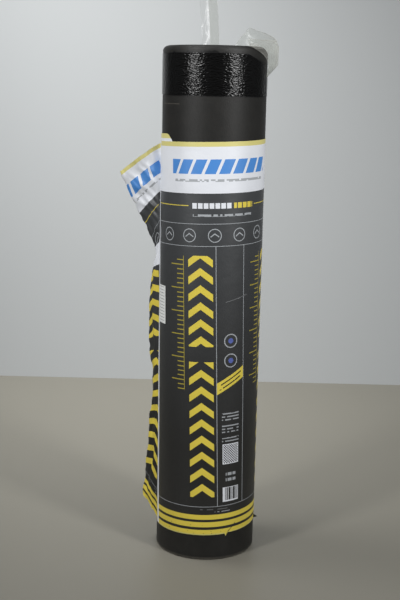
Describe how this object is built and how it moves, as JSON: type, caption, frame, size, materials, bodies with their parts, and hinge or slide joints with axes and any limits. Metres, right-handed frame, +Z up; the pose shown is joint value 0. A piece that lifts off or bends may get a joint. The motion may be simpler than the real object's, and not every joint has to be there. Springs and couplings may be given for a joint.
{
  "type": "roll of roofing felt",
  "caption": "Tall roll of bituminous roofing felt standing on end, open bore, film over its adhesive edge and a loose printed paper wrapper.",
  "frame": {"origin": "centre of the bore at the foot of the standing roll, on the floor", "axes": "+Z up along the bore, -Y toward the front of the printed wrapper, +X to the right seen from the front"},
  "size_m": [0.3036, 0.2014, 1.112],
  "materials": {
    "felt": "matte",
    "film": "gloss",
    "paper": "satin",
    "sticker": "matte"
  },
  "bodies": {
    "root": {"felt_roll": "felt", "release_film": "film", "film_tail": "film", "paper_wrap": "paper", "seam_sticker": "sticker"}
  },
  "joints": []
}
